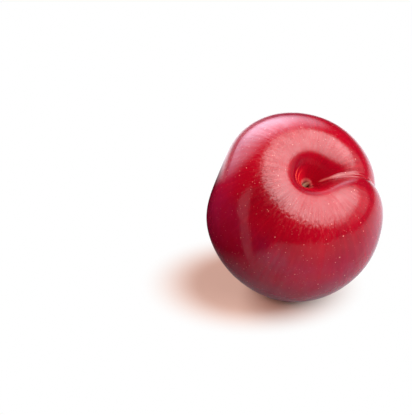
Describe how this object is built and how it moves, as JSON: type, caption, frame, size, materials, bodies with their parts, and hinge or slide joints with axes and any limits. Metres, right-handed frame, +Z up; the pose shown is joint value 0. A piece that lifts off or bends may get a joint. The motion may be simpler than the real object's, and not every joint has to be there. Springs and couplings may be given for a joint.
{
  "type": "plum",
  "caption": "Ripe red plum, whole, with a deep stem cavity, a suture down one side and a small flat spot that it rests on.",
  "frame": {"origin": "middle of the flat spot that the fruit rests on", "axes": "+Z up from the flat spot, -Y towards the front, where the stem cavity faces up and forward, and +X to the right, where the suture runs down"},
  "size_m": [0.0542, 0.0581, 0.0571],
  "materials": {
    "skin": "glossy crimson fruit skin with a thin waxy bloom and fine pale dots"
  },
  "bodies": {
    "root": {"plum": "skin"}
  },
  "joints": []
}
